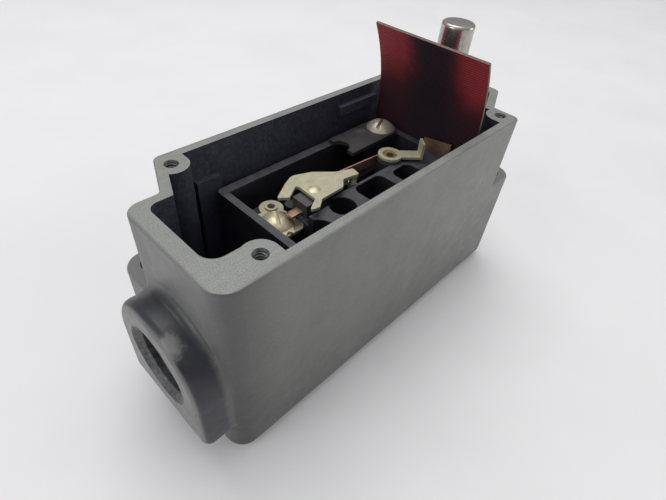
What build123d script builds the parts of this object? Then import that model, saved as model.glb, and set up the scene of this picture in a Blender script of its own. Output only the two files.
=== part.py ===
from build123d import *
import math
import os

os.makedirs("parts", exist_ok=True)

# Box-shaped limit switch with its cover off.  Millimetres, +Z up.
# The origin is the centre of the flat mounting face (the underside of the casting).
# +X runs along the box, away from the conduit hub; +Y runs from the front wall to the back wall.

# ---------------------------------------------------------------- driving sizes: casting
BOX_LENGTH = 132.0
BOX_WIDTH = 50.8
BOX_HEIGHT = 68.5
SIDE_WALL = 2.9
END_WALL = 4.7
FLOOR = 4.0
CORNER_R = 5.8            # full-height vertical corners
NOTCH_CORNER_R = 2.4      # corners where a notch leaves the box
NOTCH_END_R = 4.2         # outer corner of the narrow near end
NOTCH_INSIDE_R = 1.6
BOTTOM_R = 5.0            # cast radius round the underside
RIM_R = 0.45
SHELF_Z = 41.6            # top of the two mounting ears
SHELF_R = 1.0
NOTCH_STRAIGHT = 9.7      # notch side that runs parallel to a wall
NOTCH_DEPTH = 14.1        # how far a notch cuts into its wall
NOTCH_SLANT = 6.2         # how far the slanted side leans over that depth
CAVITY_PAD_R = 4.0        # inside corners beside a thick corner
CAVITY_NOTCH_R = 2.6      # inside corners beside a notch

# cover screw bosses
COVER_SCREW_Y = 20.0
COVER_SCREW_X_NOTCH = 48.0    # bosses beside a notch
COVER_SCREW_X_FULL = 51.7     # bosses in a full corner
COVER_BOSS_R = 4.6
COVER_TAP_R = 1.45            # tapping bore of the cover screws
COVER_TAP_DEPTH = 14.0
COVER_COUNTERSINK = 0.45
CORNER_PAD_X = 9.4            # thick casting in the two full corners
CORNER_PAD_Y = 6.8

# mounting ears
MOUNT_HOLE_X = 59.3
MOUNT_HOLE_Y = 19.0
MOUNT_HOLE_R = 2.75
MOUNT_HOLE_CHAMFER = 0.6

# conduit hub
HUB_Z = 34.6
HUB_HALF_WIDTH = 17.6
HUB_BOTTOM = 16.2             # the hub's flat foot
HUB_PAST_SIDE = 0.1           # how far the hub stands past the narrow end's side
HUB_PROJECTION = 8.0
HUB_EDGE_R = 2.4
HUB_FOOT_R = 1.6
HUB_ROOT_R = 2.2
CONDUIT_R = 9.35              # tapping bore for 1/2 inch pipe
CONDUIT_MOUTH_R = 11.4
CONDUIT_CHAMFER_DEPTH = 1.7

# ribs on the inside of the back wall
RIB_STAND = 1.9
NEAR_RIB_X = (-41.4, -33.6)
NEAR_RIB_TOP = 58.8
FAR_RIB_X = (15.5, 33.8)
FAR_RIB_TOP = 64.6
FAR_RIB_DEPTH = 3.0

# ---------------------------------------------------------------- driving sizes: lever shaft
SHAFT_X = 42.4
SHAFT_R = 5.15                # the end that the lever clamps to
SHAFT_TOP = 92.8
SHAFT_SHOULDER = 75.0         # the lever's hub stops here
JOURNAL_R = 5.4               # everything below the shoulder
SHAFT_CHAMFER = 0.9
SHAFT_FIT = 0.04              # radial running clearance in the bushing
BUSH_WALL = 1.9
BUSH_TOP = 14.0
BUSH_FLANGE_T = 1.4
BUSH_FLANGE_R = 8.8
BUSH_SEAT = 4.6               # underside of the shaft and of the bushing
BOSS_WALL = 2.6
WASHER_T = 0.9
WASHER_R = 8.0
RING_T = 1.1
RING_GROOVE_DEPTH = 0.7
RING_STAND = 1.6
FACE_GAP = 0.1                # gap between faces that slide past each other

# crank and roller on the shaft
CRANK_BOTTOM = 33.6
CRANK_T = 6.6
CRANK_HUB_R = 7.7
CRANK_ARM_HALF = 3.4
CROSS_PIN_R = 1.25
ROLLER_R = 2.9
ROLLER_SHAFT_GAP = 0.2        # between the roller and the shaft beside it
CRANK_RADIUS = JOURNAL_R + ROLLER_R + ROLLER_SHAFT_GAP    # shaft axis to roller axis
ROLLER_T = 4.9
ROLLER_PIN_R = 1.3
ROLLER_FIT = 0.06
ROLLER_PIN_HEAD_R = 2.2
ROLLER_PIN_HEAD_T = 0.8

# return spring round the shaft
SPRING_WIRE = 1.1
SPRING_R = 7.1
SPRING_TURNS = 7

# ---------------------------------------------------------------- driving sizes: switch base
BASE_X0 = -36.6
BASE_X1 = 34.0
BASE_HALF_WIDTH = 19.3
BASE_BOTTOM = 24.0
BASE_TOP = 55.4
BASE_WALL = 2.3
BASE_BACK_WALL = 2.9
BASE_CORNER_R = 1.6
TRAY_FLOOR = 35.0
TRAY_FRONT_Y = -4.2
MOVING_GAP = 0.45             # room round anything that moves

BASE_SCREW_1_X = 28.2           # at the far end, on top of the base
BASE_SCREW_2 = (-27.4, -13.2)   # at the near end, down in a deep recess
BASE_SCREW_R = 2.1
BASE_SCREW_CLEARANCE = 0.25
SCREW_BAR_GAP = 0.4             # between the far base screw and the push bar
BASE_SCREW_ENGAGE = 12.0
BASE_SCREW_HEAD_R = 5.1
BASE_SCREW_HEAD_H = 2.6
RECESS_R = 6.0
RECESS_FLOOR = 31.0
HEAD_TRIM = 0.985             # leaves a thin upright edge round a domed head
SLOT_W = 1.15
SLOT_DEPTH = 1.3
BASE_SLOT_ANGLE = 20.0
TERMINAL_SLOT_ANGLE = 62.0
STRAP_T = 1.3
STRAP_HALF = 5.6
STRAP_LENGTH = 20.5
STRAP_NOTCH_R = 3.1

# blind pockets moulded in the front of the base: centre x, y, length, width
POCKET_DEPTH = 12.0
ROUND_POCKETS = [(-13.7, -9.0, 4.1)]
SQUARE_POCKETS = [(0.6, -9.6, 12.4, 9.0), (14.6, -11.0, 9.0, 8.4)]
SQUARE_POCKET_R = 2.6

# ---------------------------------------------------------------- driving sizes: contact gear
PIVOT_X = -17.5
PIVOT_Y = -0.9
PIVOT_R = 1.9
PIVOT_FIT = 0.05
POST_SEAT = 6.0
ROCKER_ARM = CRANK_RADIUS - PIVOT_Y        # pivot axis to nose axis, so the push bar runs straight
ROCKER_HUB_R = 3.6
ROCKER_HEAD_X = (-5.6, 3.4)       # block on top of the rocker, from the pivot axis
ROCKER_HEAD_Y = (-3.2, 2.8)
ROCKER_HEAD_T = 4.4
ROCKER_NOSE_R = 2.1
ROCKER_BOTTOM = 36.2
ROCKER_T = 20.6
ROCKER_WAIST = 2.6
NOSE_T = 9.6
ROCKER_SPRING_WIRE = 0.7
ROCKER_SPRING_R = 4.4
ROCKER_SPRING_TURNS = 4
ARM_T = 0.9
ARM_LIFT = 0.6                # the stamping stands this far off the rocker's head, on a step
RIVET_R = 1.1
RIVET_HEAD_R = 1.9
RIVET_HEAD_H = 0.55
RIVET_SEAT = 3.4
TIP_X = 15.4                  # contact tips, from the pivot axis
BLADE_Y = -1.3
BLADE_DROP = 5.4
TIP_R = 1.25
TIP_T = 0.7
TIP_Z = 53.6

PUSH_BAR_HALF = 1.6
PUSH_BAR_H = 4.7
CONTACT_GAP = 0.05            # at the roller and at the rocker nose, at rest

STROKE_TURN = 15.0            # degrees of lever shaft travel

# stampings
PLATE_T = 0.8
NEAR_PLATE_TOP = 50.0
NEAR_SHELF_X = -23.2
NEAR_RECESS_Z = 44.0
EYELET = (-25.4, 8.6)
EYELET_R = 3.6
EYELET_HOLE_R = 1.2
EYELET_COLLAR_R = 1.9
EYELET_COLLAR_H = 0.6
TERMINAL_SCREW = (-29.1, 1.8)
TERMINAL_HEAD_R = 4.8
TERMINAL_HEAD_H = 2.4
TERMINAL_SCREW_R = 1.75
TERMINAL_SCREW_LENGTH = 11.0
RING_CENTRE = (16.4, -1.4)
RING_R = 3.95
RING_HOLE_R = 2.5
RING_PLATE_TOP = 57.2
STUD_LENGTH = 14.0
RING_BAR_ANGLE = -40.0
RING_BAR_LENGTH = 10.4
RING_BAR_W = 4.2
TAB_H = 4.6
CLAMP_CORNER_R = 0.35
LEAF_T = 0.45
LEAF_H = 3.2
FINGER_X = (-9.6, -3.6)       # copper finger on the rocker, from the pivot axis
FINGER_Y = (-1.6, 1.0)
FINGER_Z = 54.2
FINGER_T = 0.7
FAR_LEAF_START = (30.2, -4.6)
FAR_LEAF_END = (33.2, -13.4)
FAR_LEAF_T = 0.6
FAR_LEAF_H = 4.4

# the contact stamping's corners and their radii, from the pivot axis
ARM_CORNERS = [
    (-4.6, 7.2), (-0.5, 9.1), (5.7, 6.7), (11.1, 2.4), (16.6, 0.3), (16.0, -2.8),
    (10.3, -1.7), (7.4, -4.4), (-1.3, -4.6), (-4.2, -6.8), (-7.6, -6.2), (-2.8, -3.4),
    (-2.4, 4.8), (-7.9, 1.6), (-10.6, 3.6),
]
ARM_CORNER_R = [2.2, 3.5, 2.5, 0.9, 0.5, 0.4, 0.7, 1.2, 0.8, 0.6, 0.5, 0.5, 0.8, 0.5, 0.4]
# the wire clamp's corners, from the terminal screw's axis
CLAMP_CORNERS = [
    (4.8, -0.6), (0.8, -6.9), (-0.1, -5.1), (-2.3, -6.4), (-4.5, -0.8), (-2.7, 4.0), (3.1, 3.6),
]

# ---------------------------------------------------------------- driving sizes: insulating liner
LINER_T = 0.8
LINER_X = 35.4
LINER_HALF_WIDTH = 20.3
LINER_TOP = 89.8
LINER_BEND_START = 61.0
LINER_TOP_X = 27.9
LINER_BOTTOM = 49.2
LINER_LEDGE_W = 5.0
LINER_LEDGE_T = 3.0

# ---------------------------------------------------------------- worked-out places
HALF_L = BOX_LENGTH / 2
HALF_W = BOX_WIDTH / 2
CAVITY_X = HALF_L - END_WALL
HUB_Y = HALF_W - NOTCH_DEPTH + HUB_PAST_SIDE - HUB_HALF_WIDTH
CAVITY_Y = HALF_W - SIDE_WALL
ROLLER_Z = CRANK_BOTTOM + CRANK_T + FACE_GAP
BAR_Z = ROLLER_Z + (ROLLER_T - PUSH_BAR_H) / 2
NOSE_Z = BAR_Z + (PUSH_BAR_H - NOSE_T) / 2
ROCKER_TOP = ROCKER_BOTTOM + ROCKER_T
BUSH_R = JOURNAL_R + BUSH_WALL
BASE_SCREW_1 = (BASE_SCREW_1_X, CRANK_RADIUS + PUSH_BAR_HALF + SCREW_BAR_GAP + BASE_SCREW_R)
EDGE_TOLERANCE = 0.02         # for finding edges by where they lie


def save(name, shape):
    """Write one sub-part, under its node's name."""
    export_step(shape, f"parts/{name}.step")


def block(x0, x1, y0, y1, z0, z1):
    """A box from its two corners."""
    size = Box(x1 - x0, y1 - y0, z1 - z0)
    return Pos((x0 + x1) / 2, (y0 + y1) / 2, (z0 + z1) / 2) * size


def disc(x, y, z0, z1, radius):
    """A vertical cylinder between two heights."""
    return Pos(x, y, (z0 + z1) / 2) * Cylinder(radius, z1 - z0)


def rounded_prism(x, y, length, width, radius, z0, z1):
    """A vertical prism on a rounded rectangle."""
    return Pos(x, y, z0) * extrude(RectangleRounded(length, width, radius), z1 - z0)


def slotted_head(x, y, z, radius, height, slot_angle):
    """A domed screw head with a slot, standing on height z."""
    sphere_r = (radius ** 2 + height ** 2) / (2 * height)
    dome = Pos(x, y, z + height - sphere_r) * Sphere(sphere_r)
    head = dome & disc(x, y, z, z + height, radius * HEAD_TRIM)
    slot = Pos(x, y, z + height) * Rot(0, 0, slot_angle) * Box(3 * radius, SLOT_W, 2 * SLOT_DEPTH)
    return head - slot


# ================================================================ casting
def notch_near(grow):
    """Plan of the near/back notch, grown inwards by a wall."""
    x = -HALF_L
    y = HALF_W
    lean = NOTCH_SLANT / NOTCH_DEPTH
    slant_grow = grow * math.hypot(1, lean)
    depth = NOTCH_DEPTH + grow
    inner = x + NOTCH_STRAIGHT - grow * lean + slant_grow
    return [
        (x, y),
        (x, y - depth),
        (inner, y - depth),
        (inner + lean * depth, y),
    ]


def notch_far(grow):
    """The far/front notch: the near one turned over the box's diagonal."""
    points = []
    for px, py in notch_near(grow):
        along = px + HALF_L
        depth = HALF_W - py
        points.append((HALF_L - depth, -HALF_W + along))
    return points


def upper_outline():
    """Plan of the box above the mounting ears."""
    near = notch_near(0)
    far = notch_far(0)
    points = [
        (-HALF_L, -HALF_W),
        far[1],
        far[2],
        far[3],
        (HALF_L, HALF_W),
        near[3],
        near[2],
        near[1],
    ]
    radii = [
        CORNER_R, NOTCH_CORNER_R, NOTCH_INSIDE_R, NOTCH_CORNER_R,
        CORNER_R, NOTCH_CORNER_R, NOTCH_INSIDE_R, NOTCH_END_R,
    ]
    return make_face(FilletPolyline(*points, radius=radii, close=True))


def cover_screw_places():
    """The four cover screws: near/back, near/front, far/front, far/back."""
    return [
        (-COVER_SCREW_X_NOTCH, COVER_SCREW_Y),
        (-COVER_SCREW_X_FULL, -COVER_SCREW_Y),
        (COVER_SCREW_X_NOTCH, -COVER_SCREW_Y),
        (COVER_SCREW_X_FULL, COVER_SCREW_Y),
    ]


def cavity_outline():
    """Plan of the hollow, with the screw bosses and thick corners left standing."""
    plan = Rectangle(2 * CAVITY_X, 2 * CAVITY_Y)
    plan -= make_face(Polyline(*notch_near(SIDE_WALL), close=True))
    plan -= make_face(Polyline(*notch_far(SIDE_WALL), close=True))
    for x, y in cover_screw_places():
        plan -= Pos(x, y) * Circle(COVER_BOSS_R)
        side = math.copysign(1, y)
        plan -= Pos(x, side * (COVER_SCREW_Y + CAVITY_Y) / 2) * Rectangle(
            2 * COVER_BOSS_R, CAVITY_Y - COVER_SCREW_Y
        )
    for side in (-1, 1):
        pad_x = side * (CAVITY_X - CORNER_PAD_X / 2)
        pad_y = side * (CAVITY_Y - CORNER_PAD_Y / 2)
        plan -= Pos(pad_x, pad_y) * Rectangle(CORNER_PAD_X, CORNER_PAD_Y)
    return round_cavity(plan)


def round_cavity(plan):
    """Round the hollow's corners where the two end walls turn."""
    pad_y = CAVITY_Y - CORNER_PAD_Y
    near_notch_y = HALF_W - NOTCH_DEPTH - SIDE_WALL
    far_notch_y = NOTCH_STRAIGHT + SIDE_WALL - HALF_W
    for x, y, radius in (
        (-CAVITY_X, -pad_y, CAVITY_PAD_R),
        (CAVITY_X, pad_y, CAVITY_PAD_R),
        (-CAVITY_X, near_notch_y, CAVITY_NOTCH_R),
    ):
        corner = plan.vertices().sort_by_distance((x, y, 0))[0]
        plan = fillet(corner, radius)
    return plan


def hub_outline():
    """Round-topped, flat-footed outline of the conduit hub, seen along X."""
    half = HUB_HALF_WIDTH
    round_top = Circle(half)
    drop = HUB_Z - HUB_BOTTOM
    foot = Pos(0, -drop / 2) * Rectangle(2 * half, drop)
    outline = round_top + foot
    corners = outline.vertices().sort_by(Axis.Y)[0:2]
    return fillet(corners, HUB_FOOT_R)


def make_hub():
    """The hub, standing on the near end wall, before its bore."""
    plane = Plane(origin=(-HALF_L - HUB_PROJECTION, HUB_Y, HUB_Z), x_dir=(0, 1, 0), z_dir=(1, 0, 0))
    return extrude(plane * hub_outline(), HUB_PROJECTION + END_WALL / 2)


def round_hub(body):
    """Round the hub's outer edge and blend its root into the end wall."""
    face_x = -HALF_L - HUB_PROJECTION
    outer = body.edges().filter_by_position(Axis.X, face_x - EDGE_TOLERANCE, face_x + EDGE_TOLERANCE)
    body = fillet(outer, HUB_EDGE_R)
    root = [
        edge for edge in body.edges().filter_by_position(Axis.X, -HALF_L - EDGE_TOLERANCE, -HALF_L + CORNER_R)
        if edge.bounding_box().min.Z > HUB_BOTTOM - EDGE_TOLERANCE
        and edge.bounding_box().max.Z < HUB_Z + HUB_HALF_WIDTH + EDGE_TOLERANCE
        and edge.bounding_box().max.Y < HUB_Y + HUB_HALF_WIDTH + EDGE_TOLERANCE
    ]
    return fillet(root, HUB_ROOT_R)


def tapped_hole(x, y, depth):
    """A cover screw's tapping bore, with its small countersink."""
    bore = disc(x, y, BOX_HEIGHT - depth, BOX_HEIGHT, COVER_TAP_R)
    mouth_r = COVER_TAP_R + COVER_COUNTERSINK
    mouth = Cone(COVER_TAP_R, mouth_r, COVER_COUNTERSINK)
    return bore + Pos(x, y, BOX_HEIGHT - COVER_COUNTERSINK / 2) * mouth


def mounting_hole(x, y):
    """A screw hole right down through an ear."""
    chamfer_r = MOUNT_HOLE_R + MOUNT_HOLE_CHAMFER
    hole = disc(x, y, 0, SHELF_Z, MOUNT_HOLE_R)
    mouth = Cone(MOUNT_HOLE_R, chamfer_r, MOUNT_HOLE_CHAMFER)
    return hole + Pos(x, y, SHELF_Z - MOUNT_HOLE_CHAMFER / 2) * mouth


def conduit_bore():
    """The pipe tapping through the hub and the end wall, with its chamfer and inner spot face."""
    length = HUB_PROJECTION + END_WALL
    start = -HALF_L - HUB_PROJECTION
    bore = Pos(start + length / 2, HUB_Y, HUB_Z) * Rot(0, 90, 0) * Cylinder(CONDUIT_R, length)
    mouth = Cone(CONDUIT_MOUTH_R, CONDUIT_R, CONDUIT_CHAMFER_DEPTH)
    bore += Pos(start + CONDUIT_CHAMFER_DEPTH / 2, HUB_Y, HUB_Z) * Rot(0, 90, 0) * mouth
    spot_face = Cylinder(CONDUIT_MOUTH_R, CAVITY_PAD_R)
    return bore + Pos(start + length + CAVITY_PAD_R / 2, HUB_Y, HUB_Z) * Rot(0, 90, 0) * spot_face


def base_screw_places():
    return [BASE_SCREW_1, BASE_SCREW_2]


def housing_fittings():
    """Everything that stands up inside the hollow: posts, bearing boss and wall ribs."""
    parts = []
    for x, y in base_screw_places():
        parts.append(disc(x, y, FLOOR / 2, BASE_BOTTOM, BASE_SCREW_R + BOSS_WALL))
    for x, y in ((BASE_SCREW_1[0], -BASE_SCREW_1[1]), (BASE_SCREW_2[0], -BASE_SCREW_2[1])):
        parts.append(disc(x, y, FLOOR / 2, BASE_BOTTOM, BASE_SCREW_R + BOSS_WALL))
    parts.append(disc(SHAFT_X, 0, FLOOR / 2, BUSH_TOP, BUSH_R + BOSS_WALL))
    back = CAVITY_Y + SIDE_WALL / 2
    parts.append(block(*NEAR_RIB_X, CAVITY_Y - RIB_STAND, back, FLOOR / 2, NEAR_RIB_TOP))
    parts.append(block(*FAR_RIB_X, CAVITY_Y - RIB_STAND, back, FAR_RIB_TOP - FAR_RIB_DEPTH, FAR_RIB_TOP))
    return parts


def make_housing():
    """The cast box: walls, ears, bosses, hub and every machined hole."""
    lower = extrude(RectangleRounded(BOX_LENGTH, BOX_WIDTH, CORNER_R), SHELF_Z)
    lower = fillet(lower.faces().sort_by(Axis.Z)[0].edges(), BOTTOM_R)
    lower = fillet(lower.faces().sort_by(Axis.Z)[-1].edges(), SHELF_R)
    upper = Pos(0, 0, SHELF_Z / 2) * extrude(upper_outline(), BOX_HEIGHT - SHELF_Z / 2)
    upper = fillet(upper.faces().sort_by(Axis.Z)[-1].edges(), RIM_R)
    body = round_hub(lower + upper + make_hub())

    body -= Pos(0, 0, FLOOR) * extrude(cavity_outline(), BOX_HEIGHT)
    for fitting in housing_fittings():
        body += fitting
    body -= conduit_bore()
    for x, y in cover_screw_places():
        body -= tapped_hole(x, y, COVER_TAP_DEPTH)
    for side in (-1, 1):
        body -= mounting_hole(side * MOUNT_HOLE_X, -side * MOUNT_HOLE_Y)
    for x, y in base_screw_places():
        body -= disc(x, y, BASE_BOTTOM - BASE_SCREW_ENGAGE, BASE_BOTTOM, BASE_SCREW_R)
    body -= disc(SHAFT_X, 0, BUSH_SEAT, BUSH_TOP, BUSH_R)
    return body


# ================================================================ lever shaft group
def make_bushing():
    """Flanged bearing bush, pressed into the boss on the floor of the box."""
    sleeve = disc(SHAFT_X, 0, BUSH_SEAT, BUSH_TOP, BUSH_R)
    flange = disc(SHAFT_X, 0, BUSH_TOP, BUSH_TOP + BUSH_FLANGE_T, BUSH_FLANGE_R)
    bore = disc(SHAFT_X, 0, BUSH_SEAT, BUSH_TOP + BUSH_FLANGE_T, JOURNAL_R + SHAFT_FIT)
    return sleeve + flange - bore


def ring_groove_z():
    """Underside of the retaining ring."""
    return BUSH_TOP + BUSH_FLANGE_T + WASHER_T + FACE_GAP


def cross_pin_z():
    return CRANK_BOTTOM + CRANK_T / 2


def make_lever_shaft():
    """The round steel shaft that the outside lever clamps to."""
    journal = disc(SHAFT_X, 0, BUSH_SEAT, SHAFT_SHOULDER, JOURNAL_R)
    journal = chamfer(journal.edges().group_by(Axis.Z)[0], SHAFT_CHAMFER / 2)
    end = disc(SHAFT_X, 0, BUSH_SEAT, SHAFT_TOP, SHAFT_R)
    end = fillet(end.edges().group_by(Axis.Z)[-1], SHAFT_CHAMFER)
    end &= disc(SHAFT_X, 0, SHAFT_SHOULDER, SHAFT_TOP, JOURNAL_R)
    groove_z = ring_groove_z()
    groove = disc(SHAFT_X, 0, groove_z, groove_z + RING_T, JOURNAL_R + RING_T)
    groove -= disc(SHAFT_X, 0, groove_z, groove_z + RING_T, JOURNAL_R - RING_GROOVE_DEPTH)
    return journal + end - groove - make_cross_pin()


def make_thrust_washer():
    """Loose washer between the bushing's flange and the retaining ring."""
    low = BUSH_TOP + BUSH_FLANGE_T + FACE_GAP / 2
    washer = disc(SHAFT_X, 0, low, low + WASHER_T, WASHER_R)
    return washer - disc(SHAFT_X, 0, low, low + WASHER_T, JOURNAL_R + SHAFT_FIT)


def make_retaining_ring():
    """Open spring ring in the shaft's groove."""
    low = ring_groove_z()
    outer = JOURNAL_R + RING_STAND
    ring = disc(SHAFT_X, 0, low, low + RING_T, outer)
    ring -= disc(SHAFT_X, 0, low, low + RING_T, JOURNAL_R - RING_GROOVE_DEPTH)
    gap = block(SHAFT_X, SHAFT_X + 2 * outer, -outer / 3, outer / 3, low, low + RING_T)
    return ring - gap


def make_cross_pin():
    """The pin that fixes the crank to the shaft."""
    pin = Cylinder(CROSS_PIN_R, 2 * CRANK_HUB_R)
    return Pos(SHAFT_X, 0, cross_pin_z()) * Rot(0, 90, 0) * pin


def make_crank():
    """The crank: a hub on the shaft with one arm that carries the roller."""
    top = CRANK_BOTTOM + CRANK_T
    hub = disc(SHAFT_X, 0, CRANK_BOTTOM, top, CRANK_HUB_R)
    arm = block(
        SHAFT_X - CRANK_ARM_HALF, SHAFT_X + CRANK_ARM_HALF, 0, CRANK_RADIUS, CRANK_BOTTOM, top
    )
    arm += disc(SHAFT_X, CRANK_RADIUS, CRANK_BOTTOM, top, CRANK_ARM_HALF)
    crank = hub + arm - disc(SHAFT_X, 0, CRANK_BOTTOM, top, JOURNAL_R)
    crank -= disc(SHAFT_X, CRANK_RADIUS, CRANK_BOTTOM, top, ROLLER_PIN_R)
    return crank - make_cross_pin()


def make_roller_pin():
    """Headed pin that the roller turns on, riveted into the crank's arm."""
    head_z = ROLLER_Z + ROLLER_T + FACE_GAP
    pin = disc(SHAFT_X, CRANK_RADIUS, CRANK_BOTTOM, head_z, ROLLER_PIN_R)
    head = disc(SHAFT_X, CRANK_RADIUS, head_z, head_z + ROLLER_PIN_HEAD_T, ROLLER_PIN_HEAD_R)
    return pin + head


def make_roller():
    roller = disc(SHAFT_X, CRANK_RADIUS, ROLLER_Z, ROLLER_Z + ROLLER_T, ROLLER_R)
    bore = disc(SHAFT_X, CRANK_RADIUS, ROLLER_Z, ROLLER_Z + ROLLER_T, ROLLER_PIN_R + ROLLER_FIT)
    return roller - bore


def make_coil(x, y, low, high, radius, wire, turns):
    """Helical wire spring about a vertical axis, clear of the faces at both ends."""
    rise = high - low - 2 * wire
    path = Helix(rise / turns, rise, radius)
    section = Plane(origin=path @ 0, z_dir=path % 0) * Circle(wire / 2)
    return Pos(x, y, low + wire) * sweep(section, path=path, is_frenet=True)


def make_return_spring():
    """Torsion spring that turns the lever shaft back."""
    low = ring_groove_z() + RING_T
    return make_coil(SHAFT_X, 0, low, CRANK_BOTTOM, SPRING_R, SPRING_WIRE, SPRING_TURNS)


# ================================================================ switch base
def liner_ledges():
    """Two small ledges at the far end of the base that the liner stands on."""
    ledges = []
    for side in (-1, 1):
        y = side * (BASE_HALF_WIDTH - LINER_LEDGE_W / 2)
        x0 = BASE_X1 - BASE_WALL
        x1 = LINER_X + LINER_T / 2
        ledges.append(
            Pos((x0 + x1) / 2, y, LINER_BOTTOM - LINER_LEDGE_T / 2)
            * Box(x1 - x0, LINER_LEDGE_W, LINER_LEDGE_T)
        )
    return ledges


def base_hollows():
    """Every pocket and way in the base that is open to the top, and the push bar's way."""
    half = PUSH_BAR_HALF + MOVING_GAP
    sweep = math.hypot(ROCKER_HEAD_X[0], ROCKER_HEAD_Y[0]) * math.sin(math.radians(STROKE_TURN))
    bay_y = PIVOT_Y + ROCKER_HEAD_Y[0] - sweep - MOVING_GAP
    well_r = ROCKER_SPRING_R + ROCKER_SPRING_WIRE / 2 + MOVING_GAP
    hollows = [
        block(
            BASE_SCREW_1[0] - 2 * BASE_SCREW_HEAD_R, BASE_X1, CRANK_RADIUS - half,
            CRANK_RADIUS + half, BAR_Z - MOVING_GAP, BAR_Z + PUSH_BAR_H + MOVING_GAP,
        ),
        block(
            BASE_SCREW_2[0], PIVOT_X + ROCKER_HEAD_X[1] + MOVING_GAP, bay_y, PIVOT_Y,
            ROCKER_TOP - ROCKER_HEAD_T - MOVING_GAP, BASE_TOP,
        ),
        disc(PIVOT_X, PIVOT_Y, ROCKER_BOTTOM - MOVING_GAP, BASE_TOP, well_r),
        disc(*BASE_SCREW_2, RECESS_FLOOR, BASE_TOP, RECESS_R),
        block(
            BASE_X0 + BASE_WALL, BASE_SCREW_2[0] + RECESS_R / 2, BASE_SCREW_2[1],
            TRAY_FRONT_Y, NEAR_RECESS_Z, BASE_TOP,
        ),
    ]
    for x, y, radius in ROUND_POCKETS:
        hollows.append(disc(x, y, BASE_TOP - POCKET_DEPTH, BASE_TOP, radius))
    for x, y, size_x, size_y in SQUARE_POCKETS:
        pocket = rounded_prism(x, y, size_x, size_y, SQUARE_POCKET_R, BASE_TOP - POCKET_DEPTH, BASE_TOP)
        hollows.append(pocket)
    return hollows


def base_holes():
    """Holes that take a screw, a post or a stud."""
    holes = []
    for x, y in base_screw_places():
        holes.append(disc(x, y, BASE_BOTTOM, BASE_TOP, BASE_SCREW_R + BASE_SCREW_CLEARANCE))
    holes.append(disc(PIVOT_X, PIVOT_Y, TRAY_FLOOR - POST_SEAT, TRAY_FLOOR, PIVOT_R))
    low = NEAR_PLATE_TOP - TERMINAL_SCREW_LENGTH
    holes.append(disc(*TERMINAL_SCREW, low, NEAR_PLATE_TOP, TERMINAL_SCREW_R))
    holes.append(disc(*RING_CENTRE, RING_PLATE_TOP - STUD_LENGTH, RING_PLATE_TOP, RING_HOLE_R))
    return holes


def make_switch_base():
    """The black moulded base: an open tray at the back, a web with blind pockets in front."""
    length = BASE_X1 - BASE_X0
    middle = (BASE_X0 + BASE_X1) / 2
    body = rounded_prism(middle, 0, length, 2 * BASE_HALF_WIDTH, BASE_CORNER_R, BASE_BOTTOM, BASE_TOP)
    back = BASE_HALF_WIDTH - BASE_BACK_WALL
    body -= block(BASE_X0 + BASE_WALL, BASE_X1 - BASE_WALL, TRAY_FRONT_Y, back, TRAY_FLOOR, BASE_TOP)
    x, y = BASE_SCREW_1
    body += disc(x, y, TRAY_FLOOR, BASE_TOP, BASE_SCREW_HEAD_R)
    body += block(x, BASE_X1 - BASE_WALL, y - BASE_SCREW_HEAD_R, back, TRAY_FLOOR, BASE_TOP)
    body += block(
        BASE_X0 + BASE_WALL, NEAR_SHELF_X, TRAY_FRONT_Y, EYELET[1] + EYELET_R,
        TRAY_FLOOR, NEAR_PLATE_TOP - PLATE_T,
    )
    body += disc(*RING_CENTRE, TRAY_FLOOR, RING_PLATE_TOP - PLATE_T, RING_R)
    for ledge in liner_ledges():
        body += ledge
    for hollow in base_hollows():
        body -= hollow
    for hole in base_holes():
        body -= hole
    return body


def make_base_screws():
    """Two long screws that hold the base down on the posts."""
    seats = (BASE_TOP + STRAP_T, RECESS_FLOOR)
    group = []
    for (x, y), seat in zip(base_screw_places(), seats):
        shank = disc(x, y, BASE_BOTTOM - BASE_SCREW_ENGAGE, seat, BASE_SCREW_R)
        head = slotted_head(x, y, seat, BASE_SCREW_HEAD_R, BASE_SCREW_HEAD_H, BASE_SLOT_ANGLE)
        group.append(shank + head)
    return Compound(children=group)


def make_strap():
    """Black strap under the far base screw, with a round notch at its free end."""
    x, y = BASE_SCREW_1
    strap = block(x - STRAP_LENGTH, x, y - STRAP_HALF, y + STRAP_HALF, BASE_TOP, BASE_TOP + STRAP_T)
    strap += disc(x, y, BASE_TOP, BASE_TOP + STRAP_T, STRAP_HALF)
    notch = disc(x - STRAP_LENGTH, y, BASE_TOP, BASE_TOP + STRAP_T, STRAP_NOTCH_R)
    hole = disc(x, y, BASE_TOP, BASE_TOP + STRAP_T, BASE_SCREW_R)
    return strap - notch - hole


# ================================================================ moving contact gear
def make_push_bar():
    """Moulded bar that the roller pushes against the rocker's nose."""
    x0 = PIVOT_X + ROCKER_NOSE_R + CONTACT_GAP
    x1 = SHAFT_X - ROLLER_R - CONTACT_GAP
    bar = block(
        x0, x1, CRANK_RADIUS - PUSH_BAR_HALF, CRANK_RADIUS + PUSH_BAR_HALF, BAR_Z, BAR_Z + PUSH_BAR_H
    )
    return bar


def make_pivot_post():
    """Brass post that the rocker turns on."""
    return disc(PIVOT_X, PIVOT_Y, TRAY_FLOOR - POST_SEAT, ROCKER_TOP - ROCKER_HEAD_T, PIVOT_R)


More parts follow.
